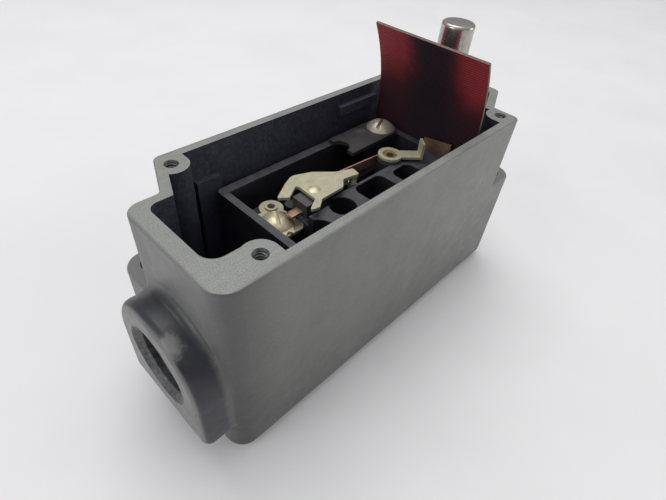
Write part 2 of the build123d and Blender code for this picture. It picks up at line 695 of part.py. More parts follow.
def make_rocker():
    """Moulded rocker: a hub on the post, an arm with a round nose, and a block on top."""
    hub = disc(PIVOT_X, PIVOT_Y, ROCKER_BOTTOM, ROCKER_TOP, ROCKER_HUB_R)
    nose_y = PIVOT_Y + ROCKER_ARM
    web = block(
        PIVOT_X - ROCKER_WAIST / 2, PIVOT_X + ROCKER_WAIST / 2, PIVOT_Y, nose_y, NOSE_Z, NOSE_Z + NOSE_T
    )
    nose = disc(PIVOT_X, nose_y, NOSE_Z, NOSE_Z + NOSE_T, ROCKER_NOSE_R)
    head = block(
        PIVOT_X + ROCKER_HEAD_X[0], PIVOT_X + ROCKER_HEAD_X[1], PIVOT_Y + ROCKER_HEAD_Y[0],
        PIVOT_Y + ROCKER_HEAD_Y[1], ROCKER_TOP - ROCKER_HEAD_T, ROCKER_TOP,
    )
    step = disc(PIVOT_X, PIVOT_Y, ROCKER_TOP, ROCKER_TOP + ARM_LIFT, RIVET_HEAD_R)
    bore = disc(PIVOT_X, PIVOT_Y, ROCKER_BOTTOM, ROCKER_TOP - ROCKER_HEAD_T, PIVOT_R + PIVOT_FIT)
    rivet_hole = disc(PIVOT_X, PIVOT_Y, ROCKER_TOP - RIVET_SEAT, ROCKER_TOP + ARM_LIFT, RIVET_R)
    return hub + web + nose + head + step - bore - rivet_hole - make_moving_finger()


def make_moving_finger():
    """Copper finger let into the near side of the rocker's block."""
    return block(
        PIVOT_X + FINGER_X[0], PIVOT_X + FINGER_X[1], PIVOT_Y + FINGER_Y[0], PIVOT_Y + FINGER_Y[1],
        FINGER_Z - FINGER_T, FINGER_Z,
    )


def make_rocker_spring():
    """Small torsion spring round the rocker's hub that keeps its nose on the push bar."""
    low = NOSE_Z + NOSE_T
    high = ROCKER_TOP - ROCKER_HEAD_T
    return make_coil(
        PIVOT_X, PIVOT_Y, low, high, ROCKER_SPRING_R, ROCKER_SPRING_WIRE, ROCKER_SPRING_TURNS
    )


def arm_plan():
    """Plan of the contact stamping, about the pivot axis."""
    return make_face(FilletPolyline(*ARM_CORNERS, radius=ARM_CORNER_R, close=True))


def make_contact_arm():
    """The contact stamping: a flat plate with a blade bent down at its far end."""
    low = ROCKER_TOP + ARM_LIFT
    plate = Pos(PIVOT_X, PIVOT_Y, low) * extrude(arm_plan(), ARM_T)
    blade = block(
        PIVOT_X + TIP_X - TIP_R, PIVOT_X + TIP_X + TIP_R, PIVOT_Y + BLADE_Y - ARM_T / 2,
        PIVOT_Y + BLADE_Y + ARM_T / 2, low - BLADE_DROP + ARM_T, low,
    )
    return plate + blade - disc(PIVOT_X, PIVOT_Y, low, low + ARM_T, RIVET_R)


def make_arm_rivet():
    """Round-headed rivet that holds the stamping on the rocker."""
    seat = ROCKER_TOP + ARM_LIFT + ARM_T
    shank = disc(PIVOT_X, PIVOT_Y, ROCKER_TOP - RIVET_SEAT, seat, RIVET_R)
    sphere_r = (RIVET_HEAD_R ** 2 + RIVET_HEAD_H ** 2) / (2 * RIVET_HEAD_H)
    dome = Pos(PIVOT_X, PIVOT_Y, seat + RIVET_HEAD_H - sphere_r) * Sphere(sphere_r)
    return shank + (dome & disc(PIVOT_X, PIVOT_Y, seat, seat + RIVET_HEAD_H, RIVET_HEAD_R))


def tip(y0, y1):
    """A round silver contact between two planes across Y."""
    button = Rot(90, 0, 0) * Cylinder(TIP_R, y1 - y0)
    return Pos(PIVOT_X + TIP_X, (y0 + y1) / 2, TIP_Z) * button


def blade_faces():
    """The two faces of the moving blade, lower Y first."""
    middle = PIVOT_Y + BLADE_Y
    return middle - ARM_T / 2, middle + ARM_T / 2


def make_moving_tips():
    """Silver contacts on both sides of the moving blade."""
    front, back = blade_faces()
    return Compound(children=[tip(front - TIP_T, front), tip(back, back + TIP_T)])


def open_contact_y():
    """Where the normally open contact must stand for the blade to reach it at full travel."""
    turn = math.radians(STROKE_TURN) * CRANK_RADIUS / ROCKER_ARM
    back = blade_faces()[1] + TIP_T - PIVOT_Y
    reach = (TIP_X + TIP_R) * math.sin(turn) + back * math.cos(turn)
    return PIVOT_Y + reach + CONTACT_GAP


# ================================================================ fixed contact gear
def make_closed_contact():
    """Normally closed contact: a silver tip on a brass bar let into the tray's front face."""
    front = blade_faces()[0] - TIP_T - CONTACT_GAP
    return tip(TRAY_FRONT_Y, front)


def make_contact_leaf():
    """Copper leaf from the ring terminal's post to the normally open tip."""
    y = open_contact_y() + TIP_T
    x = PIVOT_X + TIP_X
    far_y = RING_CENTRE[1] + RING_R + LEAF_T / 2
    route = Polyline(
        (x - 2 * TIP_R, y + LEAF_T / 2), (x + 2 * TIP_R, y + LEAF_T / 2),
        (RING_CENTRE[0] - RING_R / 2, far_y), (RING_CENTRE[0], far_y),
    )
    strip = offset(route, LEAF_T / 2, kind=Kind.INTERSECTION)
    return Pos(0, 0, TIP_Z - LEAF_H / 2) * extrude(make_face(strip), LEAF_H)


def make_open_contact():
    """Silver tip on the copper leaf."""
    y = open_contact_y()
    return tip(y, y + TIP_T)


def make_near_plate():
    """Near terminal: a flat stamping on the base's shelf, with a raised eyelet at its end."""
    low = NEAR_PLATE_TOP - PLATE_T
    x, y = TERMINAL_SCREW
    plate = disc(*EYELET, low, NEAR_PLATE_TOP, EYELET_R)
    plate += disc(*EYELET, NEAR_PLATE_TOP, NEAR_PLATE_TOP + EYELET_COLLAR_H, EYELET_COLLAR_R)
    plate += block(x - TERMINAL_HEAD_R, NEAR_SHELF_X, TRAY_FRONT_Y, EYELET[1], low, NEAR_PLATE_TOP)
    plate -= disc(*EYELET, low, NEAR_PLATE_TOP + EYELET_COLLAR_H, EYELET_HOLE_R)
    return plate - disc(x, y, low, NEAR_PLATE_TOP, TERMINAL_SCREW_R)


def make_terminal_clamp():
    """Wire clamp under the terminal screw's head, forked at its front end."""
    plan = make_face(FilletPolyline(*CLAMP_CORNERS, radius=CLAMP_CORNER_R, close=True))
    clamp = Pos(*TERMINAL_SCREW, NEAR_PLATE_TOP) * extrude(plan, PLATE_T)
    return clamp - disc(*TERMINAL_SCREW, NEAR_PLATE_TOP, NEAR_PLATE_TOP + PLATE_T, TERMINAL_SCREW_R)


def make_terminal_screw():
    """Domed, slotted wire screw of the near terminal."""
    x, y = TERMINAL_SCREW
    seat = NEAR_PLATE_TOP + PLATE_T
    shank = disc(x, y, NEAR_PLATE_TOP - TERMINAL_SCREW_LENGTH, seat, TERMINAL_SCREW_R)
    return shank + slotted_head(x, y, seat, TERMINAL_HEAD_R, TERMINAL_HEAD_H, TERMINAL_SLOT_ANGLE)


def make_ring_terminal():
    """Ring stamping with a bar that ends in a tab bent up."""
    low = RING_PLATE_TOP - PLATE_T
    ring = disc(0, 0, low, RING_PLATE_TOP, RING_R)
    bar = block(0, RING_BAR_LENGTH, -RING_BAR_W / 2, RING_BAR_W / 2, low, RING_PLATE_TOP)
    tab = block(
        RING_BAR_LENGTH - PLATE_T, RING_BAR_LENGTH, -RING_BAR_W / 2, RING_BAR_W / 2,
        low, RING_PLATE_TOP + TAB_H,
    )
    shape = ring + bar + tab - disc(0, 0, low, RING_PLATE_TOP, RING_HOLE_R)
    return Pos(*RING_CENTRE, 0) * Rot(0, 0, RING_BAR_ANGLE) * shape


def make_ring_stud():
    """Hollow brass stud that clamps the ring terminal, seen through its hole."""
    low = RING_PLATE_TOP - STUD_LENGTH
    stud = disc(*RING_CENTRE, low, RING_PLATE_TOP - PLATE_T / 2, RING_HOLE_R)
    return stud - disc(*RING_CENTRE, low + STUD_LENGTH / 2, RING_PLATE_TOP, RING_HOLE_R / 2)


def make_far_leaf():
    """Bronze leaf standing on the base behind the ring terminal's tab."""
    x0, y0 = FAR_LEAF_START
    x1, y1 = FAR_LEAF_END
    length = math.hypot(x1 - x0, y1 - y0)
    angle = math.degrees(math.atan2(y1 - y0, x1 - x0))
    leaf = Box(length, FAR_LEAF_T, FAR_LEAF_H)
    return Pos((x0 + x1) / 2, (y0 + y1) / 2, BASE_TOP + FAR_LEAF_H / 2) * Rot(0, 0, angle) * leaf


# ================================================================ insulating liner
def make_liner():
    """Springy fibre sheet: upright on its ledges, then bent towards the near end."""
    drop = LINER_TOP - LINER_BEND_START
    lean = LINER_X - LINER_TOP_X
    bend_r = (drop ** 2 + lean ** 2) / (2 * lean)
    angle = math.degrees(math.asin(drop / bend_r))
    inner = bend_r - LINER_T / 2
    outer = bend_r + LINER_T / 2
    centre = (LINER_X - bend_r, LINER_BEND_START)
    ring = Pos(*centre) * (Circle(outer) - Circle(inner))
    reach = 2 * bend_r
    turn = math.radians(angle)
    far = (centre[0] + reach * math.cos(turn), centre[1] + reach * math.sin(turn))
    wedge = make_face(Polyline(centre, (centre[0] + reach, centre[1]), far, close=True))
    height = LINER_BEND_START - LINER_BOTTOM
    upright = Pos(LINER_X, LINER_BOTTOM + height / 2) * Rectangle(LINER_T, height)
    profile = (ring & wedge) + upright
    plane = Plane(origin=(0, LINER_HALF_WIDTH, 0), x_dir=(1, 0, 0), z_dir=(0, -1, 0))
    return extrude(plane * profile, 2 * LINER_HALF_WIDTH)


if __name__ == "__main__":
    save("housing", make_housing())
    save("shaft_bushing", make_bushing())
    save("lever_shaft", make_lever_shaft())
    save("thrust_washer", make_thrust_washer())
    save("retaining_ring", make_retaining_ring())
    save("crank", make_crank())
    save("crank_cross_pin", make_cross_pin())
    save("roller_pin", make_roller_pin())
    save("crank_roller", make_roller())
    save("shaft_return_spring", make_return_spring())
    save("switch_base", make_switch_base())
    save("base_screws", make_base_screws())
    save("hold_down_strap", make_strap())
    save("push_bar", make_push_bar())
    save("rocker_post", make_pivot_post())
    save("contact_rocker", make_rocker())
    save("contact_arm", make_contact_arm())
    save("arm_rivet", make_arm_rivet())
    save("rocker_spring", make_rocker_spring())
    save("moving_contacts", make_moving_tips())
    save("closed_contact", make_closed_contact())
    save("contact_leaf", make_contact_leaf())
    save("open_contact", make_open_contact())
    save("near_terminal", make_near_plate())
    save("terminal_clamp", make_terminal_clamp())
    save("moving_finger", make_moving_finger())
    save("far_leaf", make_far_leaf())
    save("terminal_screw", make_terminal_screw())
    save("ring_terminal", make_ring_terminal())
    save("ring_stud", make_ring_stud())
    save("insulating_liner", make_liner())
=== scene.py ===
"""Looks of the open limit switch: procedural materials, threads, studio and camera."""

import math

import bmesh
import bpy
from mathutils import Matrix, Vector


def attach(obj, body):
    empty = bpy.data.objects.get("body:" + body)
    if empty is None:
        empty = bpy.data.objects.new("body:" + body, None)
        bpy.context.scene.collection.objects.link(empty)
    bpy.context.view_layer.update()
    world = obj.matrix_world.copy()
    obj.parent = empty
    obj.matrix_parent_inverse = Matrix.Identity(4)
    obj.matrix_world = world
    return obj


MM = 0.001

# the casting's sizes and places in millimetres, as in the CAD
HALF_L = 66.0
HALF_W = 25.4
CAVITY_X = 61.3
CAVITY_Y = 22.5
CAVITY_FLOOR = 4.0
RIM_Z = 68.5
HUB_Y = -6.2
HUB_Z = 34.6
MOUTH_R = 11.4
CONDUIT_R = 9.35
COVER_SCREWS = ((-48, 20), (-51.7, -20), (48, -20), (51.7, 20))
COVER_TAP_R = 1.45
COVER_TAP_BOTTOM = 54.5
MOUNT_HOLES = ((-59.3, 19), (59.3, -19))
NOTCH_LEAN = 0.4397           # slant of a notch's leaning side

# the middle of each notch's wall: a point on its leaning side, and where its straight side runs
NEAR_NOTCH = (-54.72, 11.3)
NEAR_NOTCH_Y = 9.85
FAR_NOTCH = (51.9, -14.12)
FAR_NOTCH_X = 50.45

# slack when telling which surface of the casting a face lies on
NEAR_EDGE = 0.1
COVER_HOLE_REACH = 2.0        # takes in the countersink
MOUNT_HOLE_REACH = 3.5        # takes in the chamfer

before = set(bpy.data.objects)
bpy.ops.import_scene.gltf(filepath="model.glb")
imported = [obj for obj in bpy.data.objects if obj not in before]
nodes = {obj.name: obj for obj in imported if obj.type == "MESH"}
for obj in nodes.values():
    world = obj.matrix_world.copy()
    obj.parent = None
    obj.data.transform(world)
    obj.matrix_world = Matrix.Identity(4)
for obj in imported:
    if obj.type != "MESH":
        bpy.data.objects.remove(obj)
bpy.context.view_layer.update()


# ---------------------------------------------------------------- node helpers
class Look:
    """One procedural material. Coordinates are the part's own, in millimetres."""

    def __init__(self, name):
        self.material = bpy.data.materials.new(name)
        self.material.use_nodes = True
        tree = self.material.node_tree
        self.nodes = tree.nodes
        self.links = tree.links
        self.shader = self.nodes["Principled BSDF"]
        place = self.nodes.new("ShaderNodeTexCoord")
        scale = self.nodes.new("ShaderNodeVectorMath")
        scale.operation = "SCALE"
        scale.inputs["Scale"].default_value = 1 / MM
        self.links.new(place.outputs["Object"], scale.inputs[0])
        self.place = scale.outputs[0]
        split = self.nodes.new("ShaderNodeSeparateXYZ")
        self.links.new(self.place, split.inputs[0])
        self.x, self.y, self.z = split.outputs

    def _feed(self, socket, value):
        if isinstance(value, bpy.types.NodeSocket):
            self.links.new(value, socket)
        elif isinstance(value, (tuple, list)) and len(value) == 3 and socket.type == "RGBA":
            socket.default_value = (*value, 1)
        else:
            socket.default_value = value

    def stretched(self, amounts, turn=(0, 0, 0)):
        """The coordinates turned by degrees and multiplied along each axis."""
        node = self.nodes.new("ShaderNodeMapping")
        node.inputs["Scale"].default_value = amounts
        node.inputs["Rotation"].default_value = [math.radians(a) for a in turn]
        self.links.new(self.place, node.inputs["Vector"])
        return node.outputs[0]

    def noise(self, size, detail=4.0, rough=0.55, twist=0.0, where=None):
        """Noise with features of about this size in millimetres."""
        node = self.nodes.new("ShaderNodeTexNoise")
        node.inputs["Scale"].default_value = 1 / size
        node.inputs["Detail"].default_value = detail
        node.inputs["Roughness"].default_value = rough
        node.inputs["Distortion"].default_value = twist
        self.links.new(where or self.place, node.inputs["Vector"])
        return node.outputs["Fac"]

    def ramp(self, value, *stops):
        """Colour or grey steps: (position, colour or number) pairs."""
        node = self.nodes.new("ShaderNodeValToRGB")
        band = node.color_ramp
        while len(band.elements) < len(stops):
            band.elements.new(0.5)
        for element, (position, colour) in zip(band.elements, stops):
            element.position = position
            if isinstance(colour, (int, float)):
                colour = (colour, colour, colour)
            element.color = (*colour, 1)
        self.links.new(value, node.inputs["Fac"])
        return node.outputs["Color"]

    def span(self, value, low, high, out_low=0.0, out_high=1.0):
        """The value moved from one range to another, clamped, with soft ends."""
        node = self.nodes.new("ShaderNodeMapRange")
        node.interpolation_type = "SMOOTHSTEP"
        node.inputs["From Min"].default_value = low
        node.inputs["From Max"].default_value = high
        node.inputs["To Min"].default_value = out_low
        node.inputs["To Max"].default_value = out_high
        self.links.new(value, node.inputs["Value"])
        return node.outputs["Result"]

    def sum(self, operation, a, b=0.0):
        node = self.nodes.new("ShaderNodeMath")
        node.operation = operation
        self._feed(node.inputs[0], a)
        self._feed(node.inputs[1], b)
        return node.outputs[0]

    def mix(self, factor, a, b, blend="MIX"):
        node = self.nodes.new("ShaderNodeMix")
        node.data_type = "RGBA"
        node.blend_type = blend
        self._feed(node.inputs["Factor"], factor)
        self._feed(node.inputs["A"], a)
        self._feed(node.inputs["B"], b)
        return node.outputs["Result"]

    def scratches(self, length, width, turn, low, high):
        """Sparse thin scratches, longer one way than the other."""
        line = self.noise(1.0, 2.0, 0.4, 0.0, self.stretched((1 / length, 1 / length, 1 / width), turn))
        return self.span(line, low, high)

    def bump(self, height, strength, distance=0.1):
        """Adds relief; several calls build on each other."""
        node = self.nodes.new("ShaderNodeBump")
        node.inputs["Strength"].default_value = strength
        node.inputs["Distance"].default_value = distance * MM
        self.links.new(height, node.inputs["Height"])
        before = self.shader.inputs["Normal"].links
        if before:
            self.links.new(before[0].from_socket, node.inputs["Normal"])
        self.links.new(node.outputs["Normal"], self.shader.inputs["Normal"])

    def finish(self, colour, rough, metallic=0.0, **constants):
        self._feed(self.shader.inputs["Base Color"], colour)
        self._feed(self.shader.inputs["Roughness"], rough)
        self.shader.inputs["Metallic"].default_value = metallic
        for name, value in constants.items():
            self.shader.inputs[name.replace("_", " ")].default_value = value
        return self.material


# ---------------------------------------------------------------- casting
def lacquer(name, tone, worn, shine=0.46):
    """Old grey machine lacquer over a casting: orange peel, dust, rubs and scratches, with painted shade
    multiplied in: darker low down, towards the near end and at the near front corner.
    """
    look = Look(name)
    blotch = look.noise(16, 5, 0.6)
    grain = look.noise(0.45, 3, 0.6)
    speck = look.span(look.noise(0.9, 2, 0.5), 0.66, 0.74)
    base = look.ramp(blotch, (0.3, [c * 0.86 for c in tone]), (0.55, tone), (0.78, [c * 1.14 for c in tone]))
    base = look.mix(look.span(grain, 0.35, 0.7, 0, 0.35), base, [c * 1.35 for c in tone])
    base = look.mix(look.sum("MULTIPLY", speck, 0.35), base, [c * 0.55 for c in tone])
    patches = look.span(look.noise(9, 3, 0.5), 0.5, 0.66)
    marks = look.scratches(16, 0.22, (0, 24, 12), 0.7, 0.74)
    more = look.scratches(22, 0.3, (0, -38, -20), 0.71, 0.75)
    marks = look.sum("MULTIPLY", look.sum("MAXIMUM", marks, more), patches)
    base = look.mix(look.sum("MULTIPLY", marks, 0.45), base, worn)
    rub = look.sum("MULTIPLY", look.span(look.noise(5, 6, 0.7), 0.6, 0.72), patches)
    base = look.mix(look.sum("MULTIPLY", rub, 0.14), base, worn)
    # painted shade: darker towards the bottom, towards the near end and at the near front corner, multiplied
    # into the colour
    shade_low_down = look.span(look.z, 0.0, 60.0, 0.68, 1.0)
    painted_shade = look.sum("MULTIPLY", shade_low_down, look.span(look.x, -HALF_L, 40, 0.80, 1.0))
    near_corner_shade = look.sum("MAXIMUM", look.span(look.x, -HALF_L, -48), look.span(look.y, -HALF_W, -17.5))
    painted_shade = look.sum("MULTIPLY", painted_shade, look.sum("ADD", look.sum("MULTIPLY", near_corner_shade, 0.5), 0.5))
    base = look.mix(1.0, base, look.ramp(painted_shade, (0.0, 0.0), (1.0, 1.0)), "MULTIPLY")
    look.bump(look.noise(1.6, 4, 0.6), 0.25, 0.12)
    look.bump(grain, 0.22, 0.06)
    look.bump(marks, -0.3, 0.05)
    rough = look.ramp(look.noise(4, 4, 0.6), (0.3, shine - 0.08), (0.7, shine + 0.12))
    return look.finish(base, rough)


def machined_rim():
    """The flat top of the walls: milled, then greyed, with a darker bruised outer edge."""
    look = Look("rim")
    base = look.ramp(look.noise(0.32, 4, 0.7), (0.28, (0.17, 0.175, 0.16)), (0.72, (0.38, 0.385, 0.355)))
    stain = look.span(look.noise(7, 5, 0.6), 0.45, 0.7, 0, 0.4)
    base = look.mix(stain, base, (0.19, 0.195, 0.18))
    lines = look.noise(1.0, 2, 0.5, 0.0, look.stretched((0.08, 4.0, 1.0), (0, 0, 8)))
    base = look.mix(look.span(lines, 0.55, 0.75, 0, 0.25), base, (0.46, 0.46, 0.43))
    along = look.sum("SUBTRACT", look.sum("ABSOLUTE", look.x), HALF_L - HALF_W)
    edge = look.sum("MAXIMUM", look.sum("ABSOLUTE", look.y), along)
    base = look.mix(look.span(edge, 24.3, 25.2, 0, 0.6), base, (0.12, 0.12, 0.115))
    look.bump(look.noise(0.35, 3, 0.6), 0.3, 0.05)
    look.bump(lines, 0.15, 0.03)
    rough = look.ramp(look.noise(3, 4, 0.6), (0.3, 0.42), (0.7, 0.6))
    return look.finish(base, rough, 0.15)


def dark_inside():
    """The inside of the casting: navy-black insulating varnish, dusty; lighter towards the top, partly dust
    and partly painted light.
    """
    look = Look("inside")
    base = look.ramp(look.noise(6, 6, 0.65), (0.3, (0.026, 0.028, 0.046)), (0.72, (0.050, 0.052, 0.072)))
    # lighter towards the top: partly dust specks, partly painted light reaching the upper inside
    up = look.span(look.z, 30, 66, 0, 0.55)
    dust = look.sum("MULTIPLY", look.span(look.noise(1.1, 5, 0.7), 0.4, 0.75), up)
    base = look.mix(dust, base, (0.115, 0.118, 0.145))
    look.bump(look.noise(0.8, 5, 0.65), 0.45, 0.15)
    rough = look.ramp(look.noise(2, 4, 0.6), (0.3, 0.5), (0.7, 0.78))
    return look.finish(base, rough)


def hub_side():
    """The conduit hub's side: glossier lacquer, coloured darker than the walls, worn through near the top; at
    its root it fades into the walls' tone with their painted shade.
    """
    look = Look("hub_side")
    base = look.ramp(look.noise(8, 5, 0.6), (0.3, (0.014, 0.015, 0.022)), (0.72, (0.032, 0.032, 0.038)))
    base = look.mix(look.span(look.z, 46, 52, 0, 0.25), base, (0.06, 0.06, 0.065))
    base = look.mix(look.span(look.z, 24, 16, 0, 0.4), base, (0.09, 0.09, 0.095))
    spot = look.nodes.new("ShaderNodeVectorMath")
    spot.operation = "DISTANCE"
    spot.inputs[1].default_value = (-72.8, -14.2, 49.6)
    look.links.new(look.place, spot.inputs[0])
    ragged = look.sum("ADD", spot.outputs["Value"], look.sum("MULTIPLY", look.noise(1.6, 5, 0.7), 4.0))
    worn = look.span(ragged, 6.0, 3.2)
    base = look.mix(look.sum("MULTIPLY", worn, 0.6), base, (0.30, 0.30, 0.28))
    face = look.span(look.x, -73.1, -73.7)
    base = look.mix(look.sum("MULTIPLY", face, 0.8), base, (0.17, 0.17, 0.16))
    # the lacquer tone of the casting's near end, darkened by painted shade low down, so the hub's root fades
    # into it
    wall_shade_tone = look.ramp(look.noise(16, 5, 0.6), (0.3, (0.078, 0.079, 0.078)), (0.7, (0.100, 0.101, 0.098)))
    ragged_x = look.sum("ADD", look.x, look.sum("MULTIPLY", look.noise(2.5, 4, 0.6), 1.2))
    base = look.mix(look.span(ragged_x, -67.2, -65.4), base, wall_shade_tone)
    look.bump(look.noise(1.4, 4, 0.6), 0.22, 0.12)
    look.bump(look.noise(0.35, 3, 0.6), 0.15, 0.05)
    rough = look.ramp(look.noise(3, 4, 0.6), (0.3, 0.3), (0.7, 0.46))
    return look.finish(base, rough)


def bare_iron(name, dark, light, rough_low=0.35, rough_high=0.6):
    """Cut or unpainted casting metal, as in threads and holes."""
    look = Look(name)
    base = look.ramp(look.noise(1.5, 5, 0.65), (0.3, dark), (0.72, light))
    look.bump(look.noise(0.3, 3, 0.6), 0.3, 0.04)
    rough = look.ramp(look.noise(1.2, 4, 0.6), (0.3, rough_low), (0.7, rough_high))
    return look.finish(base, rough, 0.6)


# ---------------------------------------------------------------- metals and plastics
def metal(name, dark, light, low=0.25, high=0.45, lines=(1, 1, 1), tarnish=None, metallic=0.9):
    """Plated, drawn or stamped metal with fine lines and spots of tarnish."""
    look = Look(name)
    base = look.ramp(look.noise(2.4, 5, 0.6), (0.3, dark), (0.7, light))
    brushed = look.noise(0.25, 3, 0.6, 0.0, look.stretched(lines))
    base = look.mix(look.span(brushed, 0.4, 0.75, 0, 0.3), base, [min(1, c * 1.25) for c in light])
    if tarnish:
        spots = look.span(look.noise(1.1, 5, 0.7), 0.55, 0.72, 0, 0.6)
        base = look.mix(spots, base, tarnish)
    look.bump(brushed, 0.18, 0.02)
    look.bump(look.noise(0.7, 3, 0.6), 0.12, 0.03)
    rough = look.ramp(look.noise(1.3, 4, 0.6), (0.3, low), (0.72, high))
    return look.finish(base, rough, metallic)


def moulded(name, dark, light, dust, low=0.38, high=0.62, top=None):
    """Old phenolic moulding: fine filler grain, dusty greyed upper faces."""
    look = Look(name)
    base = look.ramp(look.noise(5, 5, 0.6), (0.3, dark), (0.72, light))
    fleck = look.span(look.noise(0.4, 2, 0.5), 0.62, 0.7, 0, 0.3)
    base = look.mix(fleck, base, dust)
    if top is not None:
        shade = look.span(look.z, top - 0.5, top - 0.1, 0, 0.75)
        film = look.span(look.noise(3, 6, 0.7), 0.3, 0.7, 0.45, 1.0)
        base = look.mix(look.sum("MULTIPLY", shade, film), base, dust)
    look.bump(look.noise(0.5, 4, 0.6), 0.2, 0.05)
    look.bump(look.noise(2.5, 3, 0.5), 0.1, 0.1)
    rough = look.ramp(look.noise(2, 4, 0.6), (0.3, low), (0.7, high))
    return look.finish(base, rough)


def fibre(name, lit):
    """Crimson fibre sheet with fine ribs across, darker in its middle and low down: painted light shining
    through it, with a painted shadow of the shaft down its middle and painted shade low in the box.
    """
    look = Look(name)
    ribs = look.nodes.new("ShaderNodeTexWave")
    ribs.wave_type = "BANDS"
    ribs.bands_direction = "Z"
    ribs.inputs["Scale"].default_value = 0.42
    ribs.inputs["Distortion"].default_value = 0.9
    ribs.inputs["Detail"].default_value = 2.5
    ribs.inputs["Detail Scale"].default_value = 0.5
    look.links.new(look.place, ribs.inputs["Vector"])
    weave = look.noise(0.5, 3, 0.6, 0.0, look.stretched((1, 2.2, 0.7)))
    # painted light: lit crimson where light shines through the sheet, a painted shadow of the shaft down the
    # middle and painted shade lower down, made ragged by noise
    wander = look.sum("MULTIPLY", look.sum("SUBTRACT", look.noise(9, 4, 0.6), 0.5), 9.0)
    across = look.sum("ABSOLUTE", look.sum("ADD", look.sum("ADD", look.y, 1.5), wander))
    side = look.span(across, 3.0, 13.5)
    up = look.span(look.sum("ADD", look.z, wander), 64, 84)
    painted_through_light = look.sum("MULTIPLY", side, look.sum("ADD", look.sum("MULTIPLY", up, 0.9), 0.1))
    base = look.ramp(painted_through_light, (0.0, (0.010, 0.004, 0.012)), (0.35, (0.075, 0.007, 0.013)), (0.9, lit))
    base = look.mix(look.span(ribs.outputs["Fac"], 0.25, 0.8, 0, 0.5), base, (0.022, 0.003, 0.008))
    base = look.mix(look.span(weave, 0.55, 0.8, 0, 0.14), base, (0.42, 0.09, 0.11))
    look.bump(ribs.outputs["Fac"], 0.9, 0.25)
    look.bump(weave, 0.3, 0.06)
    rough = look.ramp(weave, (0.3, 0.55), (0.7, 0.75))
    return look.finish(base, rough, 0.0, Specular_IOR_Level=0.3)


def cut_edge():
    """The liner's sheared edge: greyish-brown frayed fibre."""
    look = Look("liner_edge")
    base = look.ramp(look.noise(0.5, 5, 0.7), (0.3, (0.11, 0.07, 0.06)), (0.7, (0.27, 0.21, 0.18)))
    look.bump(look.noise(0.25, 4, 0.7), 0.5, 0.08)
    rough = look.ramp(look.noise(0.8, 3, 0.6), (0.3, 0.7), (0.7, 0.9))
    return look.finish(base, rough)


# ---------------------------------------------------------------- which look each node wears
def dress(node, *looks):
    """Puts one or several looks into a node's material slots."""
    slots = nodes[node].data.materials
    slots.clear()
    for look in looks:
        slots.append(look)


def notched_out(point):
    """True in one of the two corners that are cut out of the box."""
    near_x = NEAR_NOTCH[0] + NOTCH_LEAN * (point.y - NEAR_NOTCH[1])
    far_y = FAR_NOTCH[1] + NOTCH_LEAN * (point.x - FAR_NOTCH[0])
    near = point.y > NEAR_NOTCH_Y and point.x < near_x
    far = point.x > FAR_NOTCH_X and point.y < far_y
    return near or far


def casting_zone(centre, normal):
    """0 outside, 1 rim, 2 inside, 3 hub side, 4 cut metal."""
    probe = centre + normal * 0.5
    within = abs(probe.x) < CAVITY_X + NEAR_EDGE and abs(probe.y) < CAVITY_Y + NEAR_EDGE
    inside = within and probe.z > CAVITY_FLOOR - NEAR_EDGE and not notched_out(probe)
    hub_r = math.hypot(centre.y - HUB_Y, centre.z - HUB_Z)
    if centre.x < NEAR_EDGE - CAVITY_X and hub_r < MOUTH_R + NEAR_EDGE / 2 and abs(normal.x) < 0.95:
        return 4
    if centre.x < -HALF_L - NEAR_EDGE and centre.z > CAVITY_FLOOR:
        return 3
    if centre.z > RIM_Z - 2 * NEAR_EDGE and normal.z > 0.9:
        return 1
    for x, y in COVER_SCREWS:
        if math.hypot(centre.x - x, centre.y - y) < COVER_HOLE_REACH and centre.z > COVER_TAP_BOTTOM - 0.5:
            return 4
    for x, y in MOUNT_HOLES:
        if math.hypot(centre.x - x, centre.y - y) < MOUNT_HOLE_REACH and abs(normal.z) < 0.9:
            return 4
    return 2 if inside and centre.z < RIM_Z - NEAR_EDGE else 0


dress(
    "housing",
    lacquer("lacquer", (0.215, 0.218, 0.206), (0.44, 0.44, 0.42)),
    machined_rim(),
    dark_inside(),
    hub_side(),
    bare_iron("cut_iron", (0.05, 0.05, 0.055), (0.16, 0.16, 0.155)),
)
casting = nodes["housing"].data
for polygon in casting.polygons:
    centre = Vector(polygon.center) / MM
    polygon.material_index = casting_zone(centre, polygon.normal)

stamped = metal(
    "stamped", (0.42, 0.39, 0.26), (0.56, 0.53, 0.38), 0.42, 0.6, (1, 0.3, 1),
    tarnish=(0.33, 0.28, 0.16), metallic=0.3,
)
bright = metal(
    "bright_brass", (0.56, 0.50, 0.32), (0.76, 0.70, 0.48), 0.3, 0.5, (1, 0.4, 1),
    tarnish=(0.40, 0.31, 0.17), metallic=0.45,
)
screw = metal("screw", (0.38, 0.34, 0.26), (0.58, 0.53, 0.43), 0.32, 0.5, (1, 1, 1), (0.28, 0.22, 0.15), 0.55)
copper = metal(
    "copper", (0.40, 0.22, 0.16), (0.66, 0.40, 0.30), 0.3, 0.5, (0.4, 1, 1),
    tarnish=(0.20, 0.11, 0.08), metallic=0.8,
)
silver = metal("silver", (0.58, 0.58, 0.57), (0.80, 0.80, 0.78), 0.2, 0.36, (1, 1, 1), (0.25, 0.24, 0.24))
steel = metal("steel", (0.40, 0.39, 0.38), (0.60, 0.59, 0.57), 0.22, 0.38, (1, 1, 0.3), (0.22, 0.2, 0.18))
ground = metal(
    "ground_steel", (0.36, 0.33, 0.31), (0.52, 0.49, 0.46), 0.16, 0.3, (0.6, 0.6, 3),
    tarnish=(0.36, 0.32, 0.29),
)
spring = metal("spring_wire", (0.20, 0.20, 0.22), (0.36, 0.36, 0.38), 0.3, 0.45)
